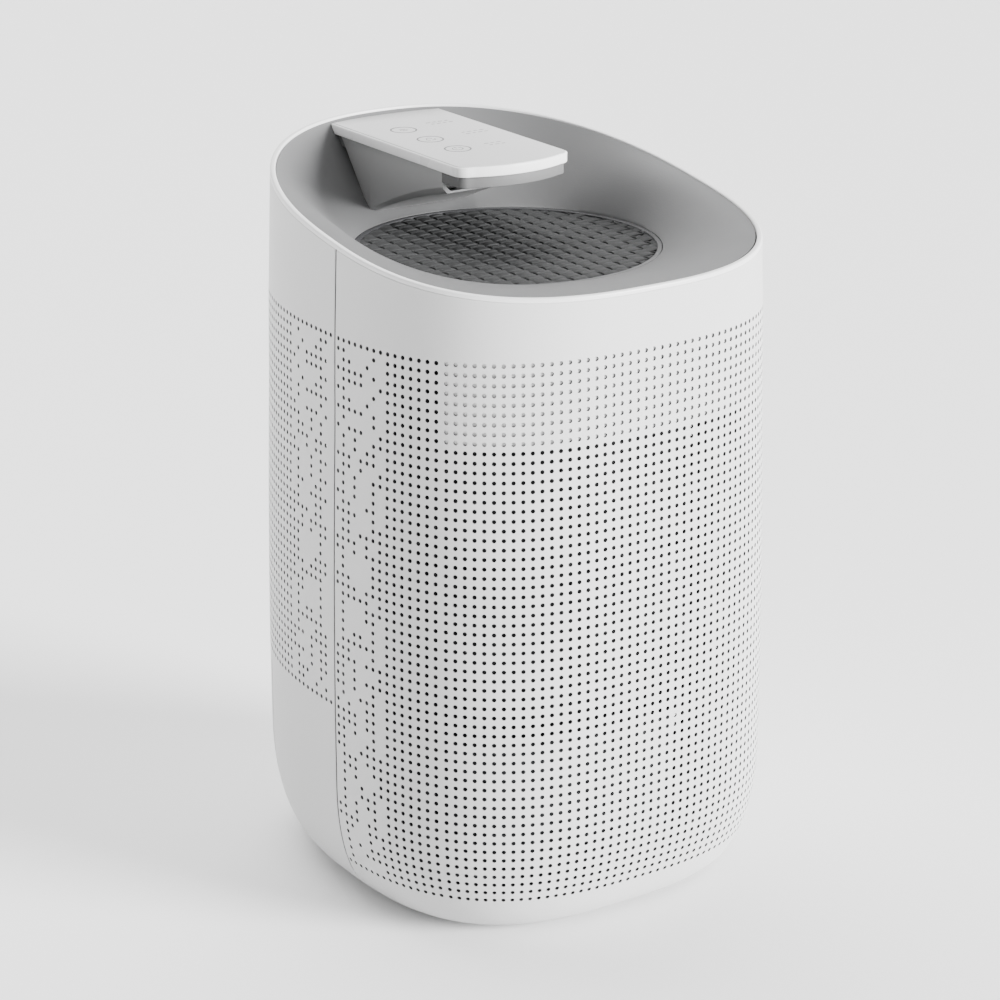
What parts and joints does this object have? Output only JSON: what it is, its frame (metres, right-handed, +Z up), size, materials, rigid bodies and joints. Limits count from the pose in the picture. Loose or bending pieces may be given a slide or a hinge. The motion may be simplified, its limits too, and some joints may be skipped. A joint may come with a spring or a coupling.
{
  "type": "air purifier",
  "caption": "Table-top air purifier: rounded-square perforated casing, slanted funnel outlet over a woven grille, cantilevered touch deck, rear pull-out filter drawer and a centrifugal fan.",
  "frame": {"origin": "on the floor at the middle of the outline, at the level the feet stand on; the casing is symmetric left to right about x = 0, and the fan's axis stands 9.7 mm in front of the origin", "axes": "+Z up, parallel to the fan's axis; -Y to the front, where the rim is lowest; +Y to the rear, where the filter drawer pulls out; +X to the right of someone facing the front"},
  "size_m": [0.2168, 0.2358, 0.3457],
  "materials": {
    "white_shell": "satin moulded ABS",
    "rim_white": "semi-gloss moulded bead",
    "grey_funnel": "fine-grained grey ABS",
    "arm_grey": "fine-grained grey ABS",
    "grille_dark": "woven-look moulding",
    "deck_white": "smooth",
    "film": "hard-coated touch film",
    "pcb": "solder mask",
    "parts_dark": "moulded packages",
    "led": "diffused epoxy",
    "ribbon": "flat flexible cable",
    "black_abs": "moulded",
    "rubber": "moulded pads",
    "steel": "zinc-plated",
    "filter_cap": "moulded end caps",
    "foam": "closed-cell foam",
    "mesh": "woven nylon mesh",
    "paper": "pleated glass-fibre and polypropylene media",
    "carbon": "bonded activated-carbon tube",
    "duct_grey": "moulded",
    "fan_white": "glass-filled moulding",
    "brass": "sintered bronze bushes",
    "stator": "laminated core with windings",
    "lead": "PVC-insulated lead",
    "liner_white": "moulded"
  },
  "bodies": {
    "chassis": {"front_shell": "white_shell", "rear_shell": "white_shell", "rim_ring": "rim_white", "outlet_funnel": "grey_funnel", "grille_ring": "black_abs", "outlet_grille": "grille_dark", "panel_arm": "arm_grey", "panel_undertray": "arm_grey", "control_deck": "deck_white", "touch_film": "film", "touch_board": "pcb", "touch_pads": "steel", "indicator_leds": "led", "panel_ribbon": "ribbon", "base_pan": "duct_grey", "foot_pads": "rubber", "base_screws": "steel", "deck_posts": "duct_grey", "drawer_rails": "duct_grey", "fan_deck": "duct_grey", "fan_housing": "duct_grey", "fan_screws": "steel", "motor_mount": "duct_grey", "motor_bearings": "brass", "motor_stator": "stator", "motor_lead": "lead", "outlet_duct": "duct_grey", "front_liner": "liner_white", "board_bracket": "duct_grey", "main_board": "pcb", "board_parts": "parts_dark", "board_screws": "steel", "power_inlet": "black_abs", "inlet_pins": "brass", "mains_lead": "lead"},
    "filter_drawer": {"drawer_front": "white_shell", "drawer_tray": "duct_grey", "filter_base_cap": "filter_cap", "filter_top_cap": "filter_cap", "filter_seal": "foam", "prefilter_mesh": "mesh", "hepa_pleats": "paper", "carbon_core": "carbon"},
    "fan": {"impeller": "fan_white", "fan_shaft": "steel", "rotor_cup": "steel"}
  },
  "joints": [
    {"name": "drawer_slide", "type": "slide", "parent": "chassis", "child": "filter_drawer", "axis": [0, 1, 0], "range_m": [0, 0.235]},
    {"name": "fan_spin", "type": "hinge", "parent": "chassis", "child": "fan", "pos_m": [0, -0.0097, 0.125], "axis": [0, 0, 1], "continuous": true}
  ]
}
